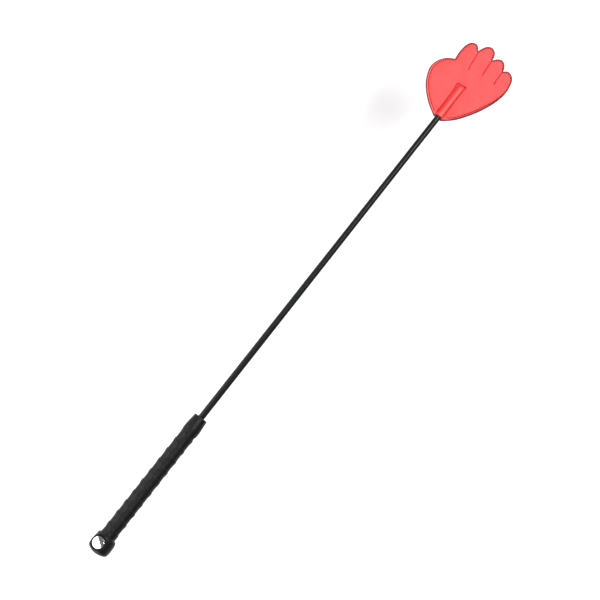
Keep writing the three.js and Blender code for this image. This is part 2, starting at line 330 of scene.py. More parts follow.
def leather(tree, colour, deep, creased, worn, raw_edge, rough, shine, grain_mm, grain_depth, wrinkle_depth):
    """Grained leather: pebbles of grain_mm, wrinkles and mottled dye.

    The mesh paints where painted shade darkens it, where wear lightens it (on the popper also a painted
    highlight), and where its cut edge takes edge dye (on the popper also widened into painted shade)."""
    place = place_at_rest(tree)
    cells = {"Vector": place, "Scale": 1 / grain_mm, "Randomness": 0.9}
    pebbles = shader(tree, "TexVoronoi", cells, feature="DISTANCE_TO_EDGE").outputs["Distance"]
    grain = ramp(tree, pebbles, 0.0, 0.22)
    pores = noise(tree, place, 2.6 / grain_mm, 2.0)
    clouds = noise(tree, place, 0.09, 4.0, 0.6, 0.4)
    blotches = noise(tree, place, 0.55, 3.0)
    wrinkles = noise(tree, place, 0.42, 4.0, 0.6, 0.8)

    tone = mixed(tree, ramp(tree, clouds, 0.3, 0.75), deep, colour)
    tone = mixed(tree, ramp(tree, blotches, 0.35, 0.8, 0.0, 0.35), tone, deep)
    tone = mixed(tree, ramp(tree, grain, 0.0, 0.7, 0.45, 0.0), tone, deep)
    # Wear lightens the leather; on the popper's crest and beside its edge this is also a painted highlight
    wear_and_highlight = painted(tree, "wear_and_highlight")
    tone = mixed(tree, wear_and_highlight, tone, worn)
    # Painted shade: darker in the popper's seams and needle holes, the grip's steps, round the stud and on
    # one slope of the ridge
    tone = mixed(tree, painted(tree, "crease"), tone, creased)
    # Edge dye, which on the popper is widened into painted shade along the palm's little-finger side and
    # round the mouth
    tone = mixed(tree, painted(tree, "edge"), tone, raw_edge)
    gloss = ramp(tree, noise(tree, place, 0.8, 3.0), 0.3, 0.7, rough - 0.07, rough + 0.09)
    gloss = maths(tree, "SUBTRACT", gloss, maths(tree, "MULTIPLY", wear_and_highlight, 0.12))
    relief = weighted(tree, grain, 0.7, pores, 0.3)
    wrinkled = bump(tree, wrinkles, wrinkle_depth, 0.8)
    return {
        "Base Color": tone,
        "Roughness": gloss,
        "Normal": bump(tree, relief, grain_depth, 0.6, wrinkled),
        "Specular IOR Level": shine,
    }


def thread(tree, colour, deep, pitch_mm):
    """Waxed thread of plies twisted together."""
    place = along_surface(tree)
    twisted = mapped(tree, place, Rotation=(0, 0, math.radians(38)))
    plies = bands(tree, twisted, 0.314 / pitch_mm, 0.6)
    fibre = noise(tree, place, 9.0, 2.0)
    tone = mixed(tree, ramp(tree, plies, 0.1, 0.8), deep, colour)
    tone = mixed(tree, ramp(tree, fibre, 0.35, 0.7, 0.0, 0.3), tone, deep)
    return {
        "Base Color": tone,
        "Roughness": ramp(tree, fibre, 0.3, 0.7, 0.5, 0.75),
        "Normal": bump(tree, plies, 0.06, 0.7),
        "Specular IOR Level": 0.12,
    }


def braid(tree, colour, deep):
    """Waxed braid: filaments run along each strand, and painted shade darkens the gaps between the strands.
    """
    place = along_surface(tree)
    families = []
    for side in (-1, 1):
        leaning = mapped(tree, place, Rotation=(0, 0, side * BRAID_ANGLE))
        families.append(bands(tree, leaning, 1.1, 0.8, Detail=1.0))
    right = painted(tree, "family")
    left = maths(tree, "SUBTRACT", 1.0, right)
    filaments = weighted(tree, families[0], right, families[1], left)
    height = painted(tree, "height")
    wax = noise(tree, place, 0.6, 4.0)
    # Painted shade: darker where the strands dip into the gaps between them
    tone = mixed(tree, ramp(tree, height, 0.1, 0.9), deep, colour)
    tone = mixed(tree, maths(tree, "MULTIPLY", filaments, 0.3), tone, deep)
    return {
        "Base Color": tone,
        "Roughness": ramp(tree, wax, 0.3, 0.7, 0.20, 0.28),
        "Normal": bump(tree, filaments, 0.012, 0.4),
        "Specular IOR Level": 0.25,
    }


def chrome(tree):
    """Polished chrome with faint buffing lines and fingerprints."""
    place = place_at_rest(tree)
    smears = noise(tree, place, 0.5, 5.0, 0.6, 0.8)
    lines = noise(tree, mapped(tree, place, Scale=(0.25, 6.0, 1.0)), 2.0, 2.0)
    return {
        "Base Color": mixed(tree, ramp(tree, smears, 0.4, 0.8), (0.86, 0.87, 0.88), (0.80, 0.81, 0.83)),
        "Metallic": 1.0,
        "Roughness": ramp(tree, smears, 0.35, 0.8, 0.035, 0.11),
        "Normal": bump(tree, lines, 0.002, 0.4),
    }


def plain(tree, colour, deep, rough, metallic, scale, stretch=(1, 1, 1)):
    """A hidden part's stuff: two tones of it, streaked or mottled, in object coordinates."""
    place = shader(tree, "TexCoord").outputs["Object"]
    streaks = noise(tree, mapped(tree, place, Scale=stretch), scale, 4.0)
    return {
        "Base Color": mixed(tree, ramp(tree, streaks, 0.35, 0.7), deep, colour),
        "Metallic": metallic,
        "Roughness": ramp(tree, streaks, 0.3, 0.7, rough - 0.08, rough + 0.08),
        "Normal": bump(tree, streaks, 0.05, 0.4),
    }


# Braid: strands run both ways round the shaft, and each goes round it once in a lay
CARRIERS = 10
BRAID_LAY = 22.0
BRAID_GIRTH = 2 * math.pi * 3.0
BRAID_ANGLE = math.atan2(BRAID_GIRTH, BRAID_LAY)

BLACK_LEATHER = material(
    "black_leather",
    leather,
    colour=(0.0045, 0.0044, 0.0045),
    deep=(0.0016, 0.0015, 0.0016),
    # Next: the colour of painted shade, then of wear that is also a painted highlight
    creased=(0.001, 0.001, 0.001),
    worn=(0.022, 0.021, 0.021),
    raw_edge=(0.034, 0.031, 0.030),
    rough=0.46,
    shine=0.27,
    grain_mm=0.75,
    grain_depth=0.035,
    wrinkle_depth=0.2,
)
RED_LEATHER = material(
    "red_leather",
    leather,
    colour=(0.92, 0.068, 0.065),
    deep=(0.87, 0.052, 0.052),
    # Next: the colour of painted shade, then of wear that is also a painted highlight
    creased=(0.42, 0.010, 0.020),
    worn=(0.98, 0.16, 0.145),
    raw_edge=(0.13, 0.004, 0.010),
    rough=0.5,
    shine=0.35,
    grain_mm=0.6,
    grain_depth=0.06,
    wrinkle_depth=0.10,
)
RED_THREAD = material("red_thread", thread, (0.42, 0.003, 0.008), (0.20, 0.001, 0.003), 0.45)
BLACK_BRAID = material("black_braid", braid, (0.012, 0.012, 0.0125), (0.003, 0.003, 0.0032))
CHROME = material("chrome", chrome)
STEEL = material("steel", plain, (0.5, 0.5, 0.51), (0.38, 0.38, 0.4), 0.3, 1.0, 900, (0.1, 1, 1))
FIBREGLASS = material("fibreglass", plain, (0.7, 0.65, 0.52), (0.58, 0.52, 0.4), 0.35, 0.0, 700, (0.05, 1, 1))
FOAM_RUBBER = material("foam_rubber", plain, (0.03, 0.03, 0.031), (0.015, 0.015, 0.015), 0.8, 0.0, 1500)
BEECH = material("beech", plain, (0.56, 0.36, 0.18), (0.44, 0.26, 0.12), 0.55, 0.0, 500, (0.15, 1, 1))
WHIPPING = material("black_whipping", plain, (0.03, 0.03, 0.031), (0.01,) * 3, 0.6, 0.0, 2500, (1, 0.1, 0.1))

# ---- pommel and stud

STUD_OUT = np.array([0, math.sin(STUD_LEAN), math.cos(STUD_LEAN)])
STUD_SIDE = np.array([0, math.cos(STUD_LEAN), -math.sin(STUD_LEAN)])
STUD_LEVELS = to_crop(cad_vertices("stud_cap")) @ STUD_OUT
STUD_BASE, STUD_TOP = STUD_LEVELS.min(), STUD_LEVELS.max()
STUD_RADIUS = np.ptp(extent("stud_cap", X)) / 2
# The stud's seat in the leather, with places counted outward from the stud's rim
SEAT_DEPTH, PRESS_SOFTNESS, SHADE_WIDTH = 0.15, 0.4, 0.9
SHOULDER_START, SHOULDER_END, SHOULDER_RISE = -0.6, 1.8, 3.4
SWELL_AT, SWELL_WIDTH, SWELL_HEIGHT = 0.7, 1.2, 1.2
PUCKER_AT, PUCKER_WIDTH, PUCKER_HEIGHT, PUCKERS = 1.6, 1.6, 0.10, 17
# The cap is a little smaller than the CAD model's, and sits a little towards its low side
CAP = {"inset": 0.5, "shift": -0.35, "sunk": 0.3, "rim": 0.75, "camber": 0.5, "bore": 1.7}


def round_stud(points):
    """Where points lie on the stud's own axes: outward, to its side, along the crop, and past its rim."""
    out, side, along = points @ STUD_OUT, points @ STUD_SIDE, points[:, X] - STUD_CENTRE[X]
    return out, side, along, np.hypot(side, along) - STUD_RADIUS


def seated(points):
    """Presses the pommel's leather in under the stud, with a soft shoulder round the seat."""
    out, side, along, past_rim = round_stud(points)
    seat = STUD_BASE - SEAT_DEPTH + SHOULDER_RISE * smooth(past_rim, SHOULDER_START, SHOULDER_END)
    excess = out + SWELL_HEIGHT * bell(past_rim - SWELL_AT, SWELL_WIDTH) - seat
    pressed = seat - PRESS_SOFTNESS * np.log1p(np.exp(np.clip(-excess / PRESS_SOFTNESS, -30, 30)))
    pucker = PUCKER_HEIGHT * np.sin(PUCKERS * np.arctan2(side, along))
    pucker = pucker * bell(past_rim - PUCKER_AT, PUCKER_WIDTH)
    return points + np.outer(np.where(out > 0, pressed - out + pucker, 0), STUD_OUT)


def pommel_profile():
    """Half section of the leather cup, as (x, radius)."""
    end, lip = POMMEL_END, WRAP_START
    domed_end = [[0, 0], [0.12, 2.0], [0.6, 4.8], [1.5, 7.4], [2.6, 9.4], [3.8, 10.8], [6.2, 11.5]]
    barrel = [[9.6, POMMEL_RADIUS], [13.5, 11.65], [17.0, 11.3], [19.6, 10.85], [20.8, 10.3]]
    rolled_lip = [[end, 9.5], [lip, 8.7], [lip, 7.6], [end - 1.0, 7.5]]
    profile = catmull_rom([*domed_end, *barrel, *rolled_lip], 9)
    profile[0, 1] = PINHOLE
    return profile


def pommel():
    """Leather cup that closes the butt end."""
    columns = 128
    profile = pommel_profile()

    def formed(points):
        x, y, z = points.T
        radius, turn = np.hypot(y, z), np.arctan2(z, y)
        side_wall = smooth(radius, 2, 9)
        swell = 0.10 * np.sin(2 * turn + 0.6) + 0.06 * np.sin(3 * turn + 0.3 * x)
        grown = 1 + swell / POMMEL_RADIUS * side_wall
        leaning = 0.6 * side_wall * (1 - smooth(x, POMMEL_END - 3, POMMEL_END))
        return seated(np.stack([x, y * grown - leaning, z * grown], 1))

    points, faces = turned(profile, columns, formed)
    on_lip = smooth(profile[:, 0], POMMEL_END - 1.4, POMMEL_END - 0.2) * (profile[:, 1] < 10.2)
    out, _, _, past_rim = round_stud(points)
    # Painted shade in the leather round the stud's rim
    values = {"edge": 0.25 * np.repeat(on_lip, columns), "crease": bell(past_rim, SHADE_WIDTH) * (out > 0)}
    piece = build("pommel_cup", points, faces, BLACK_LEATHER, None, values)
    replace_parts(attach(piece, "handle"), "pommel_leather")


def stud():
    """Pressed chrome cap: a low dome with a rolled rim."""
    height, radius = STUD_TOP - STUD_BASE, STUD_RADIUS - CAP["inset"]
    crown = radius - CAP["rim"]
    dome = [[height - CAP["camber"] * (r / crown) ** 2.2, r] for r in np.linspace(0.01, crown, 24)]
    rim = [
        [height - 0.95 + 0.45 * math.cos(angle), crown + 0.4 * math.sin(angle)]
        for angle in np.linspace(math.radians(12), math.radians(90), 8)
    ]
    wall = [[0.75, crown + 0.45], [0.55, radius - 0.08], [0.3, radius], [0.12, radius - 0.1]]
    underside = [[0.1, radius - 1.2], [0.1, CAP["bore"]]]
    points, faces = turned([*dome, *rim, *wall, *underside], 96)
    lifted = (
        np.array([STUD_CENTRE[X], 0, 0])
        + np.outer(points[:, X] + STUD_BASE - CAP["sunk"], STUD_OUT)
        + np.outer(points[:, Y], [1, 0, 0])
        + np.outer(points[:, Z] + CAP["shift"], STUD_SIDE)
    )
    piece = build("stud_dome", lifted, faces, CHROME)
    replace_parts(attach(piece, "handle"), "stud_cap")


# ---- grip

WRAP = {"pitch": 13.5, "lap": 2.0, "thickness": 0.8, "first_turn": 0.1}
WRAP_WIDTH = WRAP["pitch"] + WRAP["lap"]
WRAP_RADII = (7.4, 7.1)
WRAP_FLARE = 0.45


def wrap_section():
    """Points round the strip's section, across and up, from its covered edge over the top and back."""
    pitch, lap, thickness = WRAP["pitch"], WRAP["lap"], WRAP["thickness"]
    under, over = thickness + 0.12, thickness + 0.55
    last_points = WRAP_WIDTH - np.array([0.6, 0.35, 0.15, 0.04])
    outer_s = np.concatenate([np.linspace(0.3, WRAP_WIDTH - 1.0, 34), last_points])
    climb = (over - thickness) * smooth(outer_s, pitch - 5.0, pitch + 0.2)
    outer_h = thickness + climb - rounded_edge(WRAP_WIDTH - outer_s, 0.45)
    inner_s = [WRAP_WIDTH, WRAP_WIDTH - 0.25, pitch, pitch - 0.1, pitch - 1.3, pitch / 2, 0, 0]
    inner_h = [under + 0.16, under, under, under - 0.02, 0, 0, 0, thickness - 0.1]
    inside = np.zeros(len(inner_s))
    cut_edge = 0.2 * smooth(outer_s, WRAP_WIDTH - 0.3, WRAP_WIDTH - 0.05)
    paint = {
        "edge": np.concatenate([cut_edge, [0.3, 0.3], inside[2:]]),
        # Painted shade at the foot of the step, just past the edge of the turn that lies on this one
        "crease": np.concatenate([bell(outer_s - lap - 0.4, 0.9), inside]),
        "wear_and_highlight": np.concatenate([0.2 * bell(WRAP_WIDTH - outer_s - 0.9, 0.7), inside]),
    }
    return np.concatenate([outer_s, inner_s]), np.concatenate([outer_h, inner_h]), paint


def grip_wrap():
    """Leather strip wound round the grip, each turn's tip-side edge lying on the next turn."""
    section_s, section_h, paint = wrap_section()
    per_turn = 72
    turns = math.ceil((WRAP_END - WRAP_START + WRAP["lap"]) / WRAP["pitch"]) + 1
    turn = np.arange(turns * per_turn + 1)[:, None] / per_turn
    angle = 2 * math.pi * (turn + WRAP["first_turn"])
    wander = 0.28 * np.sin(2.3 * turn + 0.5) + 0.12 * np.sin(9.7 * turn + 1.9)
    x = WRAP_END - WRAP["pitch"] * turn + section_s + wander
    share = np.clip((x - WRAP_START) / (WRAP_END - WRAP_START), 0, 1)
    flare = WRAP_FLARE * (1 - smooth(x, WRAP_START, WRAP_START + 8))
    uneven = 0.07 * ripple(angle * 7, section_s, 5.0) + 0.04 * ripple(angle * 7, x, 2.2)
    radius = tapered(WRAP_RADII, share) + section_h + (flare + uneven) * smooth(section_h, 0.2, 0.7)
    x = np.clip(x, WRAP_START, WRAP_END)

    rows, columns = x.shape
    points = np.stack([x, radius * np.cos(angle), radius * np.sin(angle)], -1).reshape(-1, 3)
    faces = tube_faces(rows, columns)[0][:, ::-1]
    used = np.ptp(points[faces][..., X], axis=1) > 0.01
    values = {key: np.tile(value, rows) for key, value in paint.items()}
    piece = build("grip_strip", points, faces[used], BLACK_LEATHER, None, values)
    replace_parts(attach(piece, "handle"), "grip_wrap")


def collar_profile():
    """Half section of the collar, as (x, radius)."""
    start, end = COLLAR_START, COLLAR_END
    rolled_foot = [[0.5, 7.0], [0, 7.4], [-0.02, 8.05], [0.35, 8.4]]
    taper = [[2.0, 8.5], [6.5, 8.55], [11.0, 8.2], [15.5, 7.75]]
    shoulder = [[-1.2, 7.4], [-0.35, 7.1], [0, 6.5]]
    drawn_in = [[-0.02, 5.4], [-0.15, 4.4], [-0.6, 3.8], [-1.6, 3.75]]
    from_start = [[start + x, radius] for x, radius in rolled_foot + taper]
    from_end = [[end + x, radius] for x, radius in shoulder + drawn_in]
    return catmull_rom(from_start + from_end, 8)


def collar():
    """Leather band that finishes the grip, drawn in to a flat top round the shaft."""
    columns = 144
    profile = collar_profile()

    def formed(points):
        x, y, z = points.T
        radius, turn, along = np.hypot(y, z), np.arctan2(z, y), x - COLLAR_START
        swell = 0.07 * ripple(8 * turn, along, 4.0) + 0.10 * np.sin(2 * turn + 0.8)
        pleats = 0.09 * np.sin(11 * turn + 0.5 * np.sin(3 * turn)) * smooth(along, 12, 20)
        ring = -0.16 * bell(along - 1.7, 0.35)
        seam = -0.35 * bell((turn + math.pi / 2) * 8.0, 0.45)
        grown = 1 + (swell + pleats + ring + seam) * smooth(radius, 4.5, 7) / radius
        return np.stack([x, y * grown, z * grown], 1)

    points, faces = turned(profile, columns, formed)
    x, radius = profile.T
    foot_edge = 0.3 * bell(x - COLLAR_START, 0.35) * (radius < 8.45)
    top_edge = bell(x - COLLAR_END - 0.1, 0.4) * (radius > 4.5)
    edge = np.repeat(np.maximum(foot_edge, top_edge), columns)
    piece = build("grip_band", points, faces, BLACK_LEATHER, None, {"edge": edge})
    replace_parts(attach(piece, "handle"), "grip_collar")


# ---- shaft

FLEX = [to_crop(JOINTS[name])[X] for name in ("shaft_flex", "shaft_flex_middle", "shaft_flex_tip")]
# Zones centred on the shaft's joints, following one another; the stretches of braid and rod meet at their
# ends
ZONE_ENDS = [COLLAR_END]
for station in FLEX:
    ZONE_ENDS.append(2 * station - ZONE_ENDS[-1])
ZONES = list(zip(ZONE_ENDS, ZONE_ENDS[1:]))
# The braid has its radii at the butt and at the popper's mouth, and the rod at its two ends
BRAID_RADII = (3.25, 2.75)
ROD_RADII = (2.25, 1.7)
# How far the braid reaches into the collar, and how much it swells before the popper and in its pocket
BRAID_TUCK = 9
BRAID_SWELLING = (0.34, 0.04)
STRAND_HEIGHT = 0.08


def braid_radius(x):
    """Radius of the braid at a station, in the pocket or before it."""
    return tapered(BRAID_RADII, x / MOUTH)


def rod_radius(x):
    """Radius of the rod at a station."""
    return tapered(ROD_RADII, x / ROD_END)


def bend(piece, zone):
    """Bakes a shaft piece's placing into its mesh; the zone is not used."""
    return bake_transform(piece)


def braid_piece(name, start, end):
    """Braided sleeve on a lattice whose lines are the gaps between the strands."""
    fine = 4
    columns = CARRIERS * fine
    row_height = BRAID_LAY / (2 * columns)
    first, last = round(start / row_height) - 1, round(end / row_height)
    rows = np.arange(first, last + 1)
    parity = rows % 2
    total = 2 * np.arange(columns)[None, :] + parity[:, None]
    a = (total + rows[:, None]) / (2 * fine)
    b = (total - rows[:, None]) / (2 * fine)
    fa, fb = a - np.floor(a), b - np.floor(b)
    right_on_top = (np.floor(a) + np.floor(b)) % 2 == 0
    across, along = np.sin(math.pi * np.where(right_on_top, (fa, fb), (fb, fa)))
    height = np.maximum(across**0.5 * (0.55 + 0.45 * along), 0.35 * along**0.5)
    x = np.repeat(rows[:, None] * row_height, columns, 1)
    strand = np.where(right_on_top, np.floor(a), np.floor(b) + 5)
    swelling = tapered(BRAID_SWELLING, smooth(x, MOUTH - 1, MOUTH + 5))
    radius = braid_radius(x) + swelling + STRAND_HEIGHT * height + 0.02 * np.sin(strand * 2.4)
    angle = math.pi * total / columns
    points = np.stack([x, radius * np.cos(angle), radius * np.sin(angle)], -1).reshape(-1, 3)

    row, column = np.meshgrid(np.arange(1, len(rows) - 1), np.arange(columns), indexing="ij")
    shift = parity[row]
    corners = [(row, column), (row - 1, column + shift), (row, column + 1), (row + 1, column + shift)]
    faces = np.stack([r * columns + c % columns for r, c in corners], -1).reshape(-1, 4)
    unwrapped = [(2 * c + parity[r]) / (2 * columns) * BRAID_GIRTH for r, c in corners]
    uv = np.stack([np.stack([u, rows[r] * row_height], -1) for u, (r, c) in zip(unwrapped, corners)], -2)
    values = {"height": height.ravel(), "family": right_on_top.ravel().astype(float)}
    return build(name, points, faces, BLACK_BRAID, uv.reshape(-1, 4, 2), values)


def shaft():
    """Rod and braid, each in three stretches that meet where the shaft is straight."""
    meetings = [ZONES[0][1], ZONES[1][1]]
    braid_limits = [COLLAR_END - BRAID_TUCK, *meetings, BRAID_END]
    rod_limits = [ROD_START, *meetings, ROD_END]
    stood_for = [("root", "lower"), ("middle",), ("tip",)]
    for zone, nodes in enumerate(stood_for):
        sleeve = braid_piece(f"braid_{zone + 1}", *braid_limits[zone : zone + 2])
        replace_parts(bend(sleeve, zone), *[f"braid_{node}" for node in nodes])
        x = np.linspace(*rod_limits[zone : zone + 2], 50)
        profile = np.stack([x, rod_radius(x)], 1)
        if zone == 0:
            profile = np.vstack([[ROD_START, PINHOLE], profile])
        if zone == 2:
            profile = np.vstack([profile, [ROD_END, PINHOLE]])
        points, faces = turned(profile, 24)
        rod = build(f"rod_{zone + 1}", points, faces, FIBREGLASS)
        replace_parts(bend(rod, zone), *[f"rod_{node}" for node in nodes])


# ---- popper

# Outline of the hand as smooth stretches between corners, [x from the mouth, y]
HAND = {
    "thumb": [[0, 4], [8.4, 18.0], [20.6, 30.7], [32.8, 36.9], [41, 37.8], [49, 34.9], [55.2, 29.8]],
    "index": [[59.2, 23.2], [67, 24.1], [76, 23.3], [82, 20.4], [84.2, 15.8], [82.7, 11.9]],
    "middle": [[79.6, 9.6], [84.4, 7.8], [88.9, 4.9], [91, 0.2], [89, -4.6], [84.8, -7]],
    "ring": [[81.4, -7.6], [84.2, -9.9], [86.6, -12.8], [87.3, -15.9], [85.8, -19.4], [82.8, -21.8]],
    "little": [[79, -23.3], [81.4, -25.8], [82.2, -29.2], [80, -33.8], [75.4, -36.9]],
    "side": [[66.4, -38.8], [57.3, -38.2], [45.0, -34.9], [28.7, -27.5], [12.5, -17.1], [4.4, -9.2]],
    "mouth": [[0, -3.7]],
}
# Seams, [x from the mouth, y]
POCKET_SEAM = [
    [[5.6, 4.9], [20, 4.7], [32, 5.1], [41.4, 6.0]],
    [[41.4, 6.0], [43.0, -3.7]],
    [[43.0, -3.7], [34, -3.2], [20, -3.4], [10, -3.8], [5.8, -4.5]],
]
FINGER_SEAMS = [
    [[78.2, 8.4], [68, 7.4], [57.8, 5.7]],
    [[79.8, -7.4], [70, -8.1], [61.4, -9.1]],
    [[77.2, -23], [70, -23.1], [62.8, -23.7]],
]
# The edge seam's distance from the edge, on the palm and on the fingers
EDGE_INSETS = (2.7, 1.7)
SEAM_DEPTH, HOLE_DEPTH = 0.22, 0.5
# A stitch: its length, the steps of its path, and the share of it that shows between its needle holes
STITCH, STITCH_STEPS, STITCH_SHOWS = 2.4, 4, (0.15, 0.85)
STITCH_SIDES, STITCH_RINGS = 8, 11
STITCH_RISE, STITCH_SUNK, STITCH_SLANT = 0.46, 0.42, 0.05
THREAD_RADIUS, THREAD_GIRTH = 0.50, 2.3
# A finger's row, shorter than this many steps, ends in a doubled stitch that is thicker
SHORT_ROW, DOUBLED = 60, 1.25
# Thickness of the popper's leathers
SHEET = 1.2


def hand_outline(spacing):
    """The hand's outline from the mouth's thumb side round to its other side, evenly spaced."""
    outline = [HAND["thumb"][:1]]
    stretches = list(HAND.values())
    for points, following in zip(stretches, stretches[1:]):
        outline.append(resampled(catmull_rom([*points, following[0]], 12), spacing)[1:])
    return np.vstack(outline)


def normals(path):
    """Unit vectors to the right of a path, at each of its points."""
    heading = np.gradient(path, axis=0)
    heading = heading / np.linalg.norm(heading, axis=1)[:, None]
    return np.stack([heading[:, 1], -heading[:, 0]], 1)


def edge_seam_path():
    """The row of stitches round the hand: wider from the edge on the palm than on the fingers."""
    outline = hand_outline(0.6)
    inset = tapered(EDGE_INSETS, smooth(outline[:, X], 36, 62))
    path = outline + normals(outline) * inset[:, None]
    clear_of_mouth = (path[:, X] > 12) | (np.abs(path[:, Y]) > 6.4)
    return resampled(path[clear_of_mouth], STITCH / STITCH_STEPS)


EDGE_SEAM = edge_seam_path()
POCKET_PATHS, FINGER_PATHS = (
    [resampled(catmull_rom(line, 12), STITCH / STITCH_STEPS) for line in lines]
    for lines in (POCKET_SEAM, FINGER_SEAMS)
)
ALL_SEAMS = [EDGE_SEAM, *POCKET_PATHS, *FINGER_PATHS]


def distance_to(path, points):
    """Distance from each point to a path."""
    nearest = np.full(len(points), np.inf)
    steps = np.diff(path, axis=0)
    for start, step, length in zip(path, steps, np.linalg.norm(steps, axis=1)):
        toward = step / max(length, 1e-9)
        along = np.clip((points - start) @ toward, 0, length)
        away = np.linalg.norm(points - start - along[:, None] * toward, axis=1)
        nearest = np.minimum(nearest, away)
    return nearest


def closed(outline):
    """An outline that ends where it starts."""
    return np.vstack([outline, outline[:1]])


# The ridge over the pocket: its clearance round the rod, how far from its crest the leather is drawn in,
# its crest's place, how far it runs on, falls and stays stiff past the rod's end, and its two feet
CLEARANCE, RIDGE_REACH, CREST_Y = 0.12, 8.0, -0.45
RUN_ON, FALL, STIFF_END = 0.4, 3.2, 1.5
FOOT_STATIONS = [0, 5, 20, 44]
THUMB_SIDE_FOOT = [0.0, 4.55, 5.0, 5.4]
OTHER_SIDE_FOOT = [0.0, 4.1, 3.3, 3.1]
# Levels of the leathers' faces
FACE_TOP = FRONT_TOP - 0.05
FACE_BOTTOM = FACE_TOP - SHEET
BACK_FACE = BACK_BOTTOM + 0.05
LINING_GAP, RIM_GAP, MOUTH_ROOM = 0.06, 0.08, 0.13


def pocket_core(x):
    """Radius of what lies in the pocket: the braid near the mouth, and the bare rod beyond its end."""
    bare = smooth(x, BRAID_END - MOUTH, BRAID_END - MOUTH + 6)
    return CLEARANCE + tapered((braid_radius(MOUTH), rod_radius(ROD_END)), bare)


def ridge_share(x):
    """1 along the pocket, falling to 0 where the ridge runs out beyond the rod's end."""
    past_tip = x - (ROD_END - MOUTH + RUN_ON)
    return np.sqrt(1 - (np.clip(past_tip, 0, FALL) / FALL) ** 2)


def ridge_foot(x, side, radius):
    """How far from the crest the skin of the ridge comes down to the flat leather."""
    feet = [np.interp(x, FOOT_STATIONS, foot) for foot in (THUMB_SIDE_FOOT, OTHER_SIDE_FOOT)]
    return np.maximum(np.where(side > 0, *feet), radius + CLEARANCE)


def over_ridge(points, skin):
    """Lays points of the flat sheet over the pocket, as (y, z) of a face that lies skin off the core."""
    x, flat_y = points.T
    crest = CREST_Y * smooth(x, 2, 14)
    y = flat_y - crest
    side = np.where(y >= 0, 1.0, -1.0)
    level = FACE_BOTTOM + skin
    drop = -level
    share = ridge_share(x)
    radius = pocket_core(x) + skin
    foot = ridge_foot(x, side, pocket_core(x) + SHEET) - 0.8 * (SHEET - skin)
    foot = np.maximum(foot, radius + 0.05)
    reach = np.hypot(foot, drop)
    tangent = np.arccos(radius / reach) - np.arctan2(drop, foot)
    arc = radius * (math.pi / 2 - tangent)
    slope = np.sqrt(reach**2 - radius**2)
    away = np.abs(y)
    run = away / RIDGE_REACH * (arc + slope + RIDGE_REACH - foot)
    angle = math.pi / 2 - np.minimum(run, arc) / radius
    down = np.clip((run - arc) / slope, 0, 1)
    bent_y = radius * np.cos(angle) + down * (foot - radius * np.cos(tangent))
    bent_z = radius * np.sin(angle) + down * (-drop - radius * np.sin(tangent))
    bent_y = bent_y + np.maximum(run - arc - slope, 0)
    bent_y = away + (bent_y - away) * smooth(share, 0, 0.7)
    bent_z = level + (bent_z - level) * share
    near = away < RIDGE_REACH
    return np.where(near, crest + side * bent_y, flat_y), np.where(near, bent_z, level)


def unfolded(path):
    """Where points of the finished front lie on its flat sheet: the inverse of over_ridge."""
    x, target = path.T
    low, high = target - RIDGE_REACH, target + RIDGE_REACH
    for _ in range(40):
        middle = (low + high) / 2
        reached, _ = over_ridge(np.stack([x, middle], 1), SHEET)
        low = np.where(reached < target, middle, low)
        high = np.where(reached < target, high, middle)
    return np.stack([x, (low + high) / 2], 1)


def lie(points):
    """How the finished popper is not quite flat, beyond the pocket."""
    x, y = points.T
    off_pocket = np.maximum(smooth(x, 46, 88), smooth(np.abs(y), 12, 36))
    return off_pocket * (0.32 * np.sin(0.10 * y + 0.7) + 0.22 * np.sin(0.09 * x - 0.05 * y))


def thinned(candidates):
    """Points taken in order from (points, distance) groups, none nearer than that to one before it."""
    cell, grid, chosen = 1.3, {}, []
    for points, gap in candidates:
        for point in points:
            i, j = int(point[0] // cell), int(point[1] // cell)
            cells = [(i + di, j + dj) for di in (-1, 0, 1) for dj in (-1, 0, 1)]
            around = [other for key in cells for other in grid.get(key, ())]
            if all((point[0] - x) ** 2 + (point[1] - y) ** 2 >= gap * gap for x, y in around):
                grid.setdefault((i, j), []).append(point)
                chosen.append(point)
    return np.array(chosen)


def inset_ring(outline, inset):
    """Points at a distance inside the closed outline, fanned round its notches."""
    before = outline - np.roll(outline, 1, 0)
    after = np.roll(outline, -1, 0) - outline
    directions = []
    for share in (0, 0.2, 0.4, 0.6, 0.8, 1):
        heading = before / np.linalg.norm(before, axis=1)[:, None] * (1 - share)
        heading = heading + share * after / np.linalg.norm(after, axis=1)[:, None]
        heading = heading / np.linalg.norm(heading, axis=1)[:, None]
        directions.append(outline + inset * np.stack([heading[:, 1], -heading[:, 0]], 1))
    points = np.stack(directions, 1).reshape(-1, 2)
    gap = distance_to(closed(outline), points)
    return points[gap > 0.97 * inset]


# Where a sheet's mesh has points: rings inside its edge, lines beside its seams, and a grid elsewhere
RINGS = (0.12, 0.28, 0.5, 0.85)
SEAM_LINES = (0.35, 0.75, 1.2)
GRID = 0.75


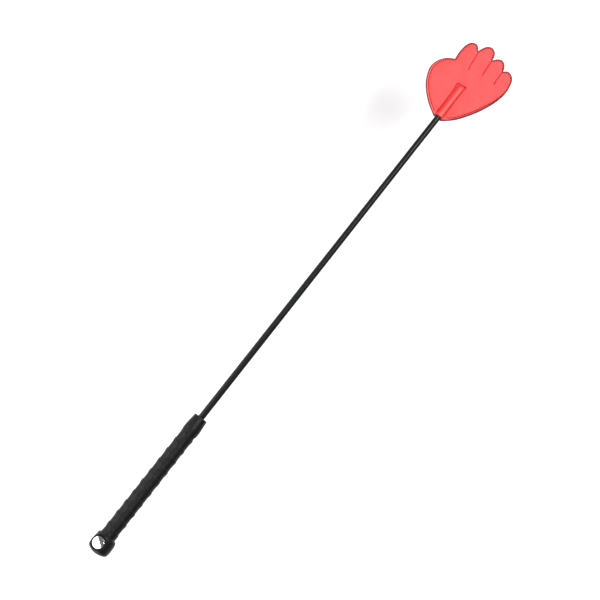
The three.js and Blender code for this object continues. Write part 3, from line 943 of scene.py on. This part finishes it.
def sheet_mesh(outline, seams):
    """A flat sheet of leather as points, triangles and the indices of its rim in order."""
    groups = [(outline, 0.0)]
    groups += [(inset_ring(outline, inset), min(0.45, 0.8 * inset)) for inset in RINGS]
    groups += [(seam, 0.1) for seam in seams]
    for offset in SEAM_LINES:
        for seam in seams:
            across = normals(seam) * offset
            groups.append((np.vstack([seam + across, seam - across]), 0.3))
    low, high = outline.min(0), outline.max(0)
    rows = np.arange(low[1], high[1], GRID * 0.866)
    columns = np.arange(low[0], high[0], GRID)
    grid_x, grid_y = np.meshgrid(columns, rows)
    grid_x = grid_x + (np.arange(len(rows)) % 2)[:, None] * GRID / 2
    groups.append((np.stack([grid_x.ravel(), grid_y.ravel()], 1), 0.55))
    points = thinned(groups)
    count = len(outline)
    loop = [(k, (k + 1) % count) for k in range(count)]
    found = geometry.delaunay_2d_cdt([Vector(p) for p in points], loop, [], 1, 1e-6)
    flat, triangles, sources = np.array([tuple(p) for p in found[0]]), np.array(found[2]), found[3]
    rim = {source: k for k, group in enumerate(sources) for source in group if source < count}
    return flat, triangles, np.array([rim[k] for k in range(count)])


def mouth_edge(left, right, depth):
    """The cut edge at the pocket's mouth, arched back over the shaft, from right to left."""
    share = np.linspace(0, 1, 24)[1:-1, None]
    line = right + (left - right) * share
    line[:, :1] += depth * np.sin(math.pi * share) ** 0.8
    return line


def seam_relief(points, seams):
    """Depth of the pressed groove and the needle holes at points of the sheet, and the painted shade in them.
    """
    depth, shade_paint = np.zeros((2, len(points)))
    for seam in seams:
        gap = distance_to(seam, points)
        depth = np.maximum(depth, SEAM_DEPTH * bell(gap, 0.62))
        # Painted shade along the groove, and more in the needle holes
        shade_paint = np.maximum(shade_paint, 0.30 * bell(gap, 0.45))
        holes = seam[::STITCH_STEPS]
        near = np.flatnonzero(gap < 0.9)
        to_hole = np.linalg.norm(points[near, None] - holes[None], axis=2).min(1)
        depth[near] = np.maximum(depth[near], HOLE_DEPTH * bell(to_hole, 0.3))
        shade_paint[near] = np.maximum(shade_paint[near], 0.8 * bell(to_hole, 0.26))
    return depth, shade_paint


def sheet_relief(flat, gap, groove):
    """Height of a leather's face over its level: uneven and grooved, its edge raised and rounded."""
    x, y = flat.T
    uneven = 0.05 * ripple(x, y, 9.0) + 0.03 * ripple(x, y, 3.0)
    raised = 0.10 * plateau(gap, (0.3, 1.0), (1.2, 2.6))
    return uneven * smooth(gap, 0, 1) + raised - groove - rounded_edge(gap, 0.55)


def sheet_paint(flat, gap, face_y, shade_paint, front):
    """Where a leather's face takes edge dye, widened into painted shade along the palm's little-finger side
    and round the mouth, with painted shade from its seams and on one slope of the ridge, and wear that is
    also a painted highlight beside the edge and on the ridge's crest.
    """
    x, y = flat.T
    # Painted shade: the edge dye is widened along the palm's little-finger side
    shaded_side = smooth(-y, 4, 16) * (1 - smooth(x, 48, 72))
    dye_and_shade = 1 - smooth(gap, 0.85 + 0.75 * shaded_side, 1.35 + 0.9 * shaded_side)
    # Painted shade: the edge dye is widened round the mouth of the pocket
    mouth_shade = (1 - smooth(x, 5.0, 6.0)) * (1 - smooth(np.abs(face_y), 3.4, 4.4))
    dye_and_shade = np.maximum(dye_and_shade, mouth_shade * (1 - smooth(gap, 1.3, 2.0)))
    # Lighter band beside the edge: wear, and a painted highlight where the leather bulges
    wear_and_highlight = 0.55 * plateau(gap, (0.9, 1.6), (1.9, 2.6)) * (x > 1)
    if front:
        # Painted shade on the thumb-side slope of the ridge
        flank_shade = plateau(face_y, (1.3, 2.6), (4.2, 5.2)) * ridge_share(x)
        shade_paint = np.maximum(shade_paint, 0.42 * flank_shade)
        # Lighter crest of the ridge: wear, and a painted highlight
        wear_and_highlight = np.maximum(wear_and_highlight, 0.5 * bell(face_y + 0.6, 1.5) * ridge_share(x))
    return {"edge": dye_and_shade, "crease": shade_paint, "wear_and_highlight": wear_and_highlight}


def leather_sheet(name, outline, seams, front, nodes):
    """One of the popper's two leathers, flat behind or laid over the pocket in front."""
    flat, triangles, rim = sheet_mesh(outline, seams)
    gap = distance_to(closed(outline), flat)
    on_rim = np.zeros(len(flat))
    on_rim[rim] = 1
    groove, shade_paint = seam_relief(flat, seams)
    relief = sheet_relief(flat, gap, groove)
    x, y = flat.T
    if front:
        face_y, face_z = over_ridge(flat, SHEET)
        lining_y, lining_z = over_ridge(flat, 0.0)
        face_z = face_z + relief
        lining_z = lining_z + RIM_GAP * on_rim
    else:
        face_y = lining_y = y
        swell = 0.35 * bell(y + 0.3, 2.4) * (1 - smooth(x, 38, 46))
        face_z = BACK_FACE - relief - swell
        lining_z = FACE_BOTTOM - LINING_GAP - RIM_GAP * on_rim
    bow = lie(flat)
    face = np.stack([MOUTH + x, face_y, face_z + bow], 1)
    lining = np.stack([MOUTH + x, lining_y, lining_z + bow], 1)
    count = len(flat)
    following = np.roll(rim, -1)
    walls = np.stack([rim, following, following + count, rim + count], 1)
    outer, inner = triangles, triangles[:, ::-1]
    if not front:
        outer, inner, walls = inner, outer, walls[:, [1, 0, 3, 2]]
    faces = [*outer.tolist(), *(inner + count).tolist(), *walls.tolist()]
    paint = sheet_paint(flat, gap, face_y, shade_paint, front)
    values = {key: np.pad(value, (0, count)) for key, value in paint.items()}
    values["edge"][count:] = on_rim
    piece = build(name, np.vstack([face, lining]), faces, RED_LEATHER, None, values)
    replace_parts(bend_popper(piece), *nodes)


def bend_popper(piece):
    """Bakes a popper piece's placing into its mesh."""
    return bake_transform(piece)


def stitch(hole_to_hole, thickness, front):
    """Rings of points round a stitch that rises from one needle hole and dives into the next."""
    share = np.linspace(*STITCH_SHOWS, STITCH_RINGS)
    at = share * STITCH_STEPS
    line = np.stack([np.interp(at, range(STITCH_STEPS + 1), column) for column in hole_to_hole.T], 1)
    heading = hole_to_hole[-1] - hole_to_hole[0]
    heading = heading / np.linalg.norm(heading)
    across = np.array([heading[Y], -heading[X]])
    line = line + np.outer(np.sin(2 * math.pi * share), across) * STITCH_SLANT
    hump = np.sin(np.linspace(0, math.pi, STITCH_RINGS)).clip(0) ** 0.5
    rise = STITCH_RISE * hump - STITCH_SUNK
    if front:
        on_ridge = (over_ridge(unfolded(line), SHEET)[1] - FACE_TOP).mean()
        height = FACE_TOP + on_ridge + lie(line) + rise
    else:
        height = BACK_FACE + lie(line) - rise
    centre = np.stack([MOUTH + line[:, X], line[:, Y], height], 1)
    angle = np.linspace(0, 2 * math.pi, STITCH_SIDES, endpoint=False)
    ring = np.outer(np.cos(angle), [*across, 0]) + np.outer(0.8 * np.sin(angle), [0, 0, 1])
    radius = THREAD_RADIUS * thickness * (0.45 + 0.55 * hump)
    return (centre[:, None] + radius[:, None, None] * ring).reshape(-1, 3)


def stitches(name, paths, front, nodes):
    """A row of single stitches along each path."""
    ring_faces, ring_cells = tube_faces(STITCH_RINGS, STITCH_SIDES)
    run = STITCH * np.linspace(*STITCH_SHOWS, STITCH_RINGS)[ring_cells[..., 0]]
    turn = ring_cells[..., 1] * THREAD_GIRTH / STITCH_SIDES
    points, faces, uv = [], [], []
    for path in paths:
        count = (len(path) - 1) // STITCH_STEPS
        for k in range(count):
            hole_to_hole = path[STITCH_STEPS * k : STITCH_STEPS * (k + 1) + 1]
            doubled = k == count - 1 and len(path) < SHORT_ROW
            faces.append(ring_faces + len(points) * STITCH_RINGS * STITCH_SIDES)
            uv.append(np.stack([run + 1.7 * k, turn], -1))
            points.append(stitch(hole_to_hole, DOUBLED if doubled else 1, front))
    piece = build(name, np.vstack(points), np.vstack(faces), RED_THREAD, np.vstack(uv))
    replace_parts(bend_popper(piece), *nodes)


def popper():
    """The hand: two leathers sewn together round the pocket, with rows of stitches on each face."""
    outline = hand_outline(0.55)
    least = np.where(outline[:, X] < 1.5, pocket_core(0.0) + SHEET + MOUTH_ROOM, 0)
    outline[:, Y] = np.sign(outline[:, Y]) * np.maximum(np.abs(outline[:, Y]), least)
    laid = unfolded(outline)
    front_outline = np.vstack([laid, mouth_edge(laid[0], laid[-1], 2.4)])
    back_outline = np.vstack([outline, mouth_edge(outline[0], outline[-1], 0.8)])
    front_seams = [unfolded(seam) for seam in ALL_SEAMS]
    leather_sheet("popper_front", front_outline, front_seams, True, ["palm_front", "fingers_front"])
    leather_sheet("popper_back", back_outline, ALL_SEAMS, False, ["palm_back", "fingers_back"])
    rows = {
        "edge": ([EDGE_SEAM], ["thumb_edge", "little_edge", "finger_edge"]),
        "pocket": (POCKET_PATHS, ["pocket"]),
        "finger": (FINGER_PATHS, ["index_finger", "middle_finger", "ring_finger"]),
    }
    for side in ("front", "back"):
        for row, (paths, threads) in rows.items():
            nodes = [f"{name}_thread_{side}" for name in threads]
            stitches(f"{row}_stitches_{side}", paths, side == "front", nodes)


# ---- what stays from the CAD model

HIDDEN = {"pommel_core": BEECH, "stud_post": STEEL, "grip_core": FOAM_RUBBER, "tip_whipping": WHIPPING}


def keep_hidden_parts():
    """Gives the CAD nodes inside the crop their materials."""
    for node, look in HIDDEN.items():
        mesh = frame["nodes"][node].data
        mesh.materials.clear()
        mesh.materials.append(look)


# ---- camera, floor and lights

CAMERA_DISTANCE = 4.5
FRAME_WIDTH = 0.6062
VIEW_OFFSET = (-0.0006, -0.0006)
SENSOR = 36.0
SLANT = math.radians(51.741)
PICTURE_RIGHT = Vector((math.cos(SLANT), -math.sin(SLANT), 0))
PICTURE_UP = Vector((math.sin(SLANT), math.cos(SLANT), 0))
FLOOR_SIZE, FLOOR_DROP = 6.0, 0.25


def oriented(thing, place, looking, up):
    """Places a camera or lamp, looking one way, with its top towards up."""
    back = -looking.normalized()
    right = up.cross(back).normalized()
    turn = Matrix((right, back.cross(right), back)).transposed()
    thing.matrix_world = Matrix.Translation(place) @ turn.to_4x4()


def camera():
    """Looks straight down on the crop, which lies across the picture from corner to corner."""
    points = np.vstack([cad_vertices(node) for node in frame["nodes"]])
    centre = Vector((0, 0, 0))
    for axis, offset in zip((PICTURE_RIGHT, PICTURE_UP), VIEW_OFFSET):
        reach = points @ np.array(axis)
        centre += axis * (float(reach.min() + reach.max()) / 2 + offset)
    data = bpy.data.cameras.new("camera")
    data.sensor_width = SENSOR
    data.lens = SENSOR * CAMERA_DISTANCE / FRAME_WIDTH
    view = placed("camera", data)
    place = centre + Vector((0, 0, CAMERA_DISTANCE + BUTT[2]))
    oriented(view, place, Vector((0, 0, -1)), PICTURE_UP)
    bpy.context.scene.camera = view


# Softboxes: place, width and height in metres, roll in degrees, and brightness
ROOM_LIGHT = 0.19
SOFTBOXES = {
    "key": ((-0.60, 1.32, 0.92), (0.95, 1.6), 45, 4.2),
    "butt_end": ((-1.75, -0.1, 1.35), (1.2, 1.2), 0, 4.3),
    "popper_end": ((1.75, -0.1, 1.35), (1.2, 1.2), 0, 4.3),
    "overhead": ((0.72, -0.42, 2.1), (0.3, 0.8), -30, 44.0),
}


def softbox(name, place, size, roll, brightness):
    """A rectangular soft light that faces the crop's middle."""
    data = bpy.data.lights.new(name, "AREA")
    data.shape = "RECTANGLE"
    data.size, data.size_y = size
    data.energy = brightness * math.pi * size[0] * size[1]
    looking = -Vector(place)
    upright = Vector((0, 0, 1)) - looking * looking.z / looking.length_squared
    upright.rotate(Quaternion(looking.normalized(), math.radians(roll)))
    oriented(placed(name, data), Vector(place), looking, upright)


def studio():
    """A pale floor below the tip's lowest place, an even room light, and the softboxes."""
    floor_mesh = bpy.data.meshes.new("floor")
    low, high = -FLOOR_SIZE, FLOOR_SIZE
    corners = [(x, y, -FLOOR_DROP) for x, y in ((low, low), (high, low), (high, high), (low, high))]
    floor_mesh.from_pydata(corners, [], [(0, 1, 2, 3)])
    pale = {"Base Color": (0.95, 0.95, 0.95, 1), "Roughness": 0.9}
    floor_mesh.materials.append(material("floor", lambda tree: pale))
    placed("floor", floor_mesh)
    world = bpy.data.worlds.new("studio")
    world.use_nodes = True
    tree = world.node_tree
    background = tree.nodes["Background"]
    background.inputs["Color"].default_value = (1, 1, 1, 1)
    seen = shader(tree, "LightPath").outputs["Is Camera Ray"]
    strength = maths(tree, "ADD", maths(tree, "MULTIPLY", seen, 1.0 - ROOM_LIGHT), ROOM_LIGHT)
    tree.links.new(strength, background.inputs["Strength"])
    bpy.context.scene.world = world
    for name, facts in SOFTBOXES.items():
        softbox(name, *facts)
    bpy.context.scene.view_settings.view_transform = "Standard"


pommel()
stud()
grip_wrap()
collar()
shaft()
popper()
keep_hidden_parts()
camera()
studio()
